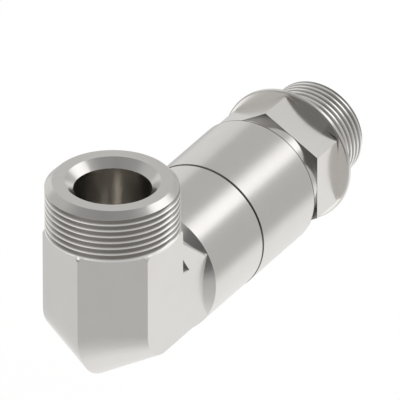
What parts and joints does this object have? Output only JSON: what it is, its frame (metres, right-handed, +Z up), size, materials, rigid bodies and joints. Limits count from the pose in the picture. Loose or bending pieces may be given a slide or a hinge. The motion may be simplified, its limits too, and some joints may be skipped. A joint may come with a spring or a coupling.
{
  "type": "live swivel elbow",
  "caption": "Ninety-degree hydraulic swivel elbow with a threaded port, a ball-bearing housing and a hexagonal stem with a threaded stud.",
  "frame": {"origin": "on the swivel axis where the full thread of the stud begins, 2.8 mm beyond the flange's sealing face", "axes": "+Y along the swivel axis, out of the stud's free end; +Z up, out of the elbow's port at the rest pose; +X to the right seen from the elbow's nose"},
  "size_m": [0.0458, 0.1531, 0.0683],
  "materials": {
    "plated_steel": "machined steel, bright nickel plate",
    "plated_steel_sleeve": "turned steel, bright nickel plate",
    "plated_steel_stem": "turned and milled steel, bright nickel plate",
    "bearing_steel": "hardened and ground",
    "ball_steel": "lapped",
    "shim_brass": "rolled",
    "bronze": "turned bronze",
    "white_plastic": "turned low-friction plastic",
    "guide_plastic": "bronze-filled plastic",
    "seal_rubber": "moulded nitrile rubber"
  },
  "bodies": {
    "stem": {"swivel_stem": "plated_steel_stem", "balls_front": "ball_steel", "balls_rear": "ball_steel", "stud_seal": "seal_rubber"},
    "elbow": {"elbow_body": "plated_steel", "bearing_sleeve": "plated_steel_sleeve", "race_ring_front": "bearing_steel", "race_ring_middle": "bearing_steel", "race_ring_rear": "bearing_steel", "bearing_shim": "shim_brass", "thrust_washer": "bronze", "nose_washer": "white_plastic", "backup_ring_front": "white_plastic", "pressure_seal": "seal_rubber", "backup_ring_rear": "white_plastic", "nose_guide_ring": "guide_plastic", "joint_seal": "seal_rubber", "sleeve_guide_ring": "guide_plastic", "grease_seal": "seal_rubber", "wiper_ring": "seal_rubber"}
  },
  "joints": [
    {"name": "swivel", "type": "hinge", "parent": "stem", "child": "elbow", "pos_m": [0, -0.11405, 0], "axis": [0, 1, 0], "continuous": true}
  ]
}
